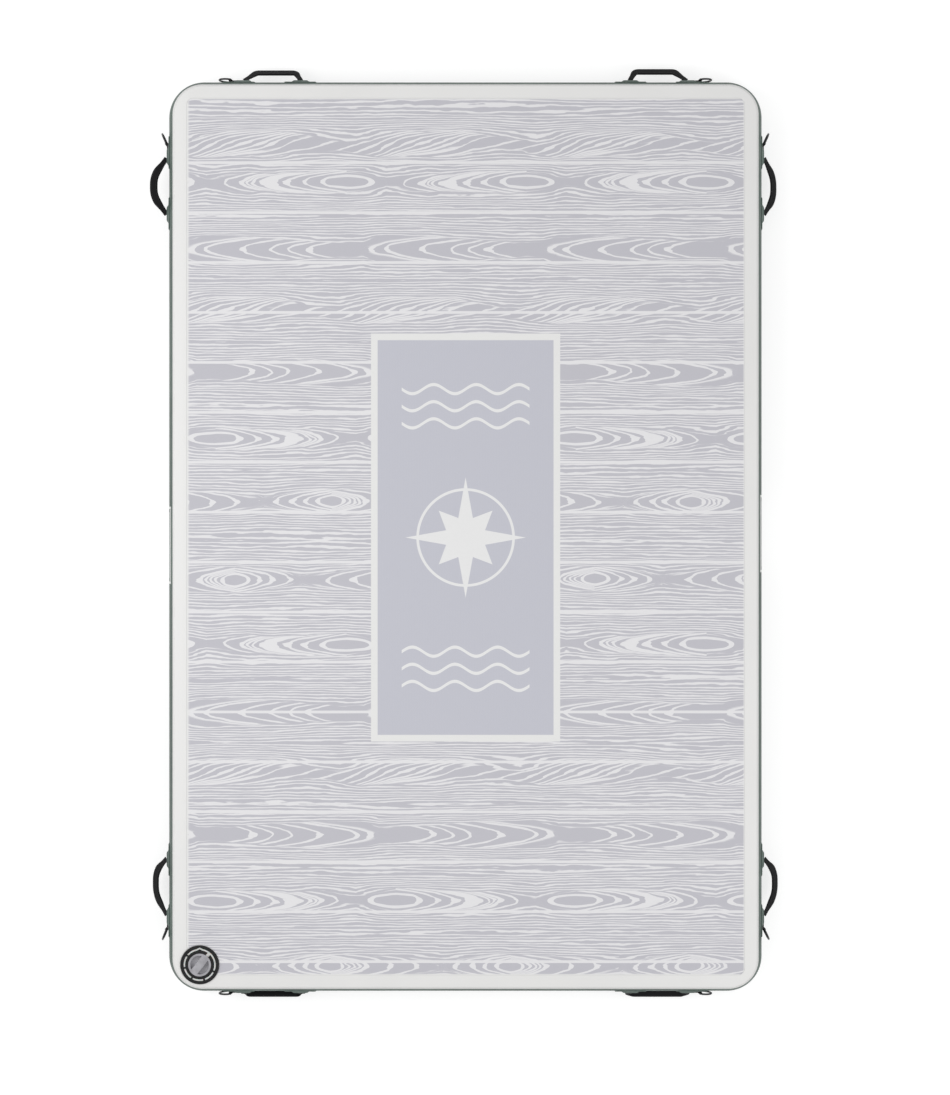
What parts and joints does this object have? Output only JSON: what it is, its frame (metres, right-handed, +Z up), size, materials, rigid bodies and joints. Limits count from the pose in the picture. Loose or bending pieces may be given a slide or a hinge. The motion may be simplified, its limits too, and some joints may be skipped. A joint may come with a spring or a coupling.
{
  "type": "inflatable dock platform",
  "caption": "Rectangular inflatable dock platform with a printed non-slip deck, bulged side wall, webbing grab handles, D-rings and a corner inflation valve.",
  "frame": {"origin": "centre of the underside, on the surface that the dock rests on", "axes": "+Z up, +Y along the length towards the end away from the valve, +X to the right seen from above"},
  "size_m": [1.6705, 2.475, 0.1581],
  "materials": {
    "white_pvc": "smooth coated PVC sheet",
    "printed_pvc": "fine-ribbed non-slip sheet, printed with a pale wood grain",
    "green_pvc": "grey-green coated PVC sheet",
    "polyester_yarn": "woven polyester",
    "black_webbing": "black webbing",
    "black_coated_steel": "black coated steel wire",
    "black_nylon": "black moulded nylon",
    "grey_nylon": "grey moulded nylon",
    "pale_rubber": "pale flexible moulding",
    "black_rubber": "black seal rubber",
    "yellow_nylon": "yellow moulded nylon",
    "spring_steel": "bright spring wire"
  },
  "bodies": {
    "dock": {"top_skin": "white_pvc", "bottom_skin": "white_pvc", "side_wall": "green_pvc", "upper_seam_tape": "white_pvc", "lower_seam_tape": "white_pvc", "deck_sheet": "printed_pvc", "drop_stitch_cloth": "polyester_yarn", "valve_body": "black_nylon", "valve_nut": "black_nylon", "valve_gasket": "black_rubber", "cap_leash": "pale_rubber", "left_head_ring_base": "green_pvc", "left_head_handle_base": "green_pvc", "left_head_ring_loop": "black_webbing", "left_foot_ring_base": "green_pvc", "left_foot_handle_base": "green_pvc", "left_foot_ring_loop": "black_webbing", "right_head_ring_base": "green_pvc", "right_head_handle_base": "green_pvc", "right_head_ring_loop": "black_webbing", "right_foot_ring_base": "green_pvc", "right_foot_handle_base": "green_pvc", "right_foot_ring_loop": "black_webbing", "head_left_ring_base": "green_pvc", "head_left_handle_base": "green_pvc", "head_left_ring_loop": "black_webbing", "head_right_ring_base": "green_pvc", "head_right_handle_base": "green_pvc", "head_right_ring_loop": "black_webbing", "foot_left_ring_base": "green_pvc", "foot_left_handle_base": "green_pvc", "foot_left_ring_loop": "black_webbing", "foot_right_ring_base": "green_pvc", "foot_right_handle_base": "green_pvc", "foot_right_ring_loop": "black_webbing"},
    "left_head_handle": {"left_head_handle": "black_webbing"},
    "left_head_d_ring": {"left_head_d_ring": "black_coated_steel"},
    "left_foot_handle": {"left_foot_handle": "black_webbing"},
    "left_foot_d_ring": {"left_foot_d_ring": "black_coated_steel"},
    "right_head_handle": {"right_head_handle": "black_webbing"},
    "right_head_d_ring": {"right_head_d_ring": "black_coated_steel"},
    "right_foot_handle": {"right_foot_handle": "black_webbing"},
    "right_foot_d_ring": {"right_foot_d_ring": "black_coated_steel"},
    "head_left_handle": {"head_left_handle": "black_webbing"},
    "head_left_d_ring": {"head_left_d_ring": "black_coated_steel"},
    "head_right_handle": {"head_right_handle": "black_webbing"},
    "head_right_d_ring": {"head_right_d_ring": "black_coated_steel"},
    "foot_left_handle": {"foot_left_handle": "black_webbing"},
    "foot_left_d_ring": {"foot_left_d_ring": "black_coated_steel"},
    "foot_right_handle": {"foot_right_handle": "black_webbing"},
    "foot_right_d_ring": {"foot_right_d_ring": "black_coated_steel"},
    "cap_ring": {"cap_gasket": "black_rubber"},
    "cap": {"valve_cap": "grey_nylon"},
    "poppet_slide": {"poppet_spring": "spring_steel"},
    "poppet": {"poppet": "yellow_nylon", "poppet_seal": "black_rubber"}
  },
  "joints": [
    {"name": "left_head_handle_swing", "type": "hinge", "parent": "dock", "child": "left_head_handle", "pos_m": [-0.7958, 0.932, 0.076], "axis": [0, 1, 0], "range_deg": [-82, 82]},
    {"name": "left_head_ring_swing", "type": "hinge", "parent": "dock", "child": "left_head_d_ring", "pos_m": [-0.7941, 1.044, 0.076], "axis": [0, 0, 1], "range_deg": [-24, 96]},
    {"name": "left_foot_handle_swing", "type": "hinge", "parent": "dock", "child": "left_foot_handle", "pos_m": [-0.7958, -0.932, 0.076], "axis": [0, 1, 0], "range_deg": [-43, 121]},
    {"name": "left_foot_ring_swing", "type": "hinge", "parent": "dock", "child": "left_foot_d_ring", "pos_m": [-0.7941, -1.044, 0.076], "axis": [0, 0, -1], "range_deg": [-22, 98]},
    {"name": "right_head_handle_swing", "type": "hinge", "parent": "dock", "child": "right_head_handle", "pos_m": [0.7958, 0.932, 0.076], "axis": [0, -1, 0], "range_deg": [-45, 119]},
    {"name": "right_head_ring_swing", "type": "hinge", "parent": "dock", "child": "right_head_d_ring", "pos_m": [0.7941, 1.044, 0.076], "axis": [0, 0, -1], "range_deg": [-24, 96]},
    {"name": "right_foot_handle_swing", "type": "hinge", "parent": "dock", "child": "right_foot_handle", "pos_m": [0.7958, -0.932, 0.076], "axis": [0, -1, 0], "range_deg": [-42, 122]},
    {"name": "right_foot_ring_swing", "type": "hinge", "parent": "dock", "child": "right_foot_d_ring", "pos_m": [0.7941, -1.044, 0.076], "axis": [0, 0, 1], "range_deg": [-26, 94]},
    {"name": "head_left_handle_swing", "type": "hinge", "parent": "dock", "child": "head_left_handle", "pos_m": [-0.513, 1.2148, 0.076], "axis": [1, 0, 0], "range_deg": [-37, 127]},
    {"name": "head_left_ring_swing", "type": "hinge", "parent": "dock", "child": "head_left_d_ring", "pos_m": [-0.625, 1.2131, 0.076], "axis": [0, 0, -1], "range_deg": [-3, 117]},
    {"name": "head_right_handle_swing", "type": "hinge", "parent": "dock", "child": "head_right_handle", "pos_m": [0.513, 1.2148, 0.076], "axis": [1, 0, 0], "range_deg": [-43, 121]},
    {"name": "head_right_ring_swing", "type": "hinge", "parent": "dock", "child": "head_right_d_ring", "pos_m": [0.625, 1.2131, 0.076], "axis": [0, 0, 1], "range_deg": [-3, 117]},
    {"name": "foot_left_handle_swing", "type": "hinge", "parent": "dock", "child": "foot_left_handle", "pos_m": [-0.513, -1.2148, 0.076], "axis": [-1, 0, 0], "range_deg": [-3, 161]},
    {"name": "foot_left_ring_swing", "type": "hinge", "parent": "dock", "child": "foot_left_d_ring", "pos_m": [-0.625, -1.2131, 0.076], "axis": [0, 0, 1], "range_deg": [-3, 117]},
    {"name": "foot_right_handle_swing", "type": "hinge", "parent": "dock", "child": "foot_right_handle", "pos_m": [0.513, -1.2148, 0.076], "axis": [-1, 0, 0], "range_deg": [-3, 161]},
    {"name": "foot_right_ring_swing", "type": "hinge", "parent": "dock", "child": "foot_right_d_ring", "pos_m": [0.625, -1.2131, 0.076], "axis": [0, 0, -1], "range_deg": [-3, 117]},
    {"name": "cap_rise", "type": "slide", "parent": "dock", "child": "cap_ring", "axis": [0, 0, 1], "range_m": [0, 0.006]},
    {"name": "cap_turn", "type": "hinge", "parent": "cap_ring", "child": "cap", "pos_m": [-0.6986, -1.1251, 0.1505], "axis": [0, 0, 1], "range_deg": [0, 360]},
    {"name": "poppet_press", "type": "slide", "parent": "dock", "child": "poppet_slide", "axis": [0, 0, -1], "range_m": [0, 0.007], "stiffness_N_per_m": 300, "springref_m": -0.003, "deforming": ["poppet_spring"]},
    {"name": "poppet_turn", "type": "hinge", "parent": "poppet_slide", "child": "poppet", "pos_m": [-0.6986, -1.1251, 0.1505], "axis": [0, 0, 1], "range_deg": [0, 90]}
  ],
  "couplings": [
    {"joint": "cap_turn", "follows": "cap_rise", "rad_per_m": 1047}
  ]
}
